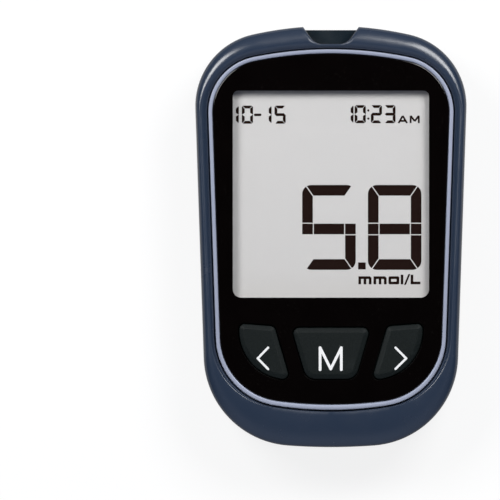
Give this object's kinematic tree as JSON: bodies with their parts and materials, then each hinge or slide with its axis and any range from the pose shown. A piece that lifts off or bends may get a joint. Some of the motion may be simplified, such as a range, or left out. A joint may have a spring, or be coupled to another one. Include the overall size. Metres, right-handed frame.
{
  "type": "blood glucose meter",
  "caption": "Hand-held blood glucose meter: tapered case with a rolled rim, strip port at the crown, segment display under a glossy lens, push keys and a slide-off battery door.",
  "frame": {"origin": "under the middle of the bounding box, on the flat rear face that the meter lies on", "axes": "+X to the right of the display, +Y from the chin to the strip port, +Z out of the display"},
  "size_m": [0.0606, 0.094, 0.022],
  "materials": {
    "case_navy": "satin moulded plastic, dark navy",
    "ring_silver": "satin silver-blue paint",
    "lens_black": "glossy acrylic, printed black on its rear face round a clear window",
    "tape_black": "adhesive foam film",
    "key_charcoal": "matte with a printed white legend",
    "mat_rubber": "matte silicone rubber",
    "display_film": "clear film",
    "display_glass": "clear glass",
    "frame_white": "moulded plastic",
    "zebra_rubber": "striped conductive rubber",
    "board_green": "solder-masked laminate",
    "chip_black": "moulded epoxy",
    "can_steel": "tinned sheet",
    "chip_ceramic": "fired, with tinned ends",
    "connector_ivory": "moulded plastic",
    "contact_gold": "gold flashed",
    "spring_steel": "nickel plated",
    "cell_wrap": "glossy printed wrap on a steel can",
    "screw_steel": "zinc plated"
  },
  "bodies": {
    "meter": {"front_housing": "case_navy", "rear_housing": "case_navy", "trim_ring": "ring_silver", "display_lens": "lens_black", "lens_tape": "tape_black", "keypad_mat": "mat_rubber", "lcd_polariser": "display_film", "lcd_front_glass": "display_glass", "lcd_rear_glass": "display_glass", "lcd_reflector": "display_film", "lcd_frame": "frame_white", "zebra_strip": "zebra_rubber", "circuit_board": "board_green", "microcontroller": "chip_black", "bluetooth_module": "can_steel", "memory_chip": "chip_black", "crystal": "can_steel", "capacitors": "chip_ceramic", "buzzer": "chip_black", "strip_connector": "connector_ivory", "strip_contacts": "contact_gold", "left_cell": "cell_wrap", "right_cell": "cell_wrap", "positive_plate": "spring_steel", "negative_leaf": "spring_steel", "bridge_leaf": "spring_steel", "housing_screws": "screw_steel"},
    "left_key": {"left_button": "key_charcoal"},
    "memory_key": {"memory_button": "key_charcoal"},
    "right_key": {"right_button": "key_charcoal"},
    "door": {"battery_door": "case_navy"}
  },
  "joints": [
    {"name": "left_key_press", "type": "slide", "parent": "meter", "child": "left_key", "axis": [0, 0, -1], "range_m": [0, 0.0008], "stiffness_N_per_m": 600, "deforming": ["keypad_mat"]},
    {"name": "memory_key_press", "type": "slide", "parent": "meter", "child": "memory_key", "axis": [0, 0, -1], "range_m": [0, 0.0008], "stiffness_N_per_m": 600, "deforming": ["keypad_mat"]},
    {"name": "right_key_press", "type": "slide", "parent": "meter", "child": "right_key", "axis": [0, 0, -1], "range_m": [0, 0.0008], "stiffness_N_per_m": 600, "deforming": ["keypad_mat"]},
    {"name": "door_slide", "type": "slide", "parent": "meter", "child": "door", "axis": [0, -1, 0], "range_m": [0, 0.053]}
  ]
}
